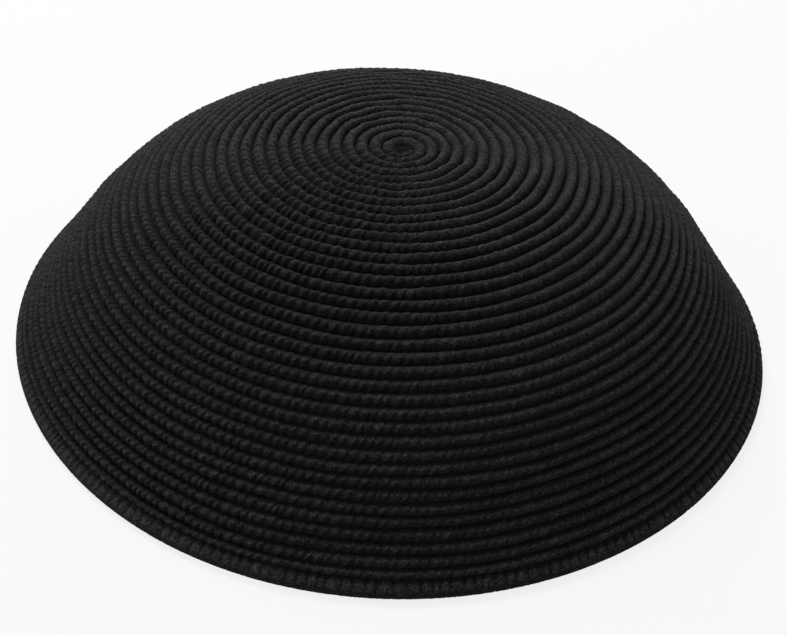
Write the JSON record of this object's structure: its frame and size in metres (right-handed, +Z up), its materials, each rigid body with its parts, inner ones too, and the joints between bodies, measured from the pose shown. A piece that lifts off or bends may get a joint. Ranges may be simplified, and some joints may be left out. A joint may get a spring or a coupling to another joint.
{
  "type": "crocheted kippah skullcap",
  "caption": "Shallow black crocheted skullcap with a nearly flat crown, worked in a spiral of ribbed rounds down to a thicker closing edge, open below to sit on the top of the head.",
  "frame": {"origin": "middle of the plan, on the surface that the rim rests on", "axes": "+Z up through the crown, +X along the longer way across the rim, -Y towards the side that the picture shows in front"},
  "size_m": [0.1554, 0.1506, 0.0448],
  "materials": {
    "black_cotton": "matt crocheted cotton yarn, close single stitches in ribbed rounds, slightly fuzzy"
  },
  "bodies": {
    "root": {"crown": "black_cotton"}
  },
  "joints": []
}
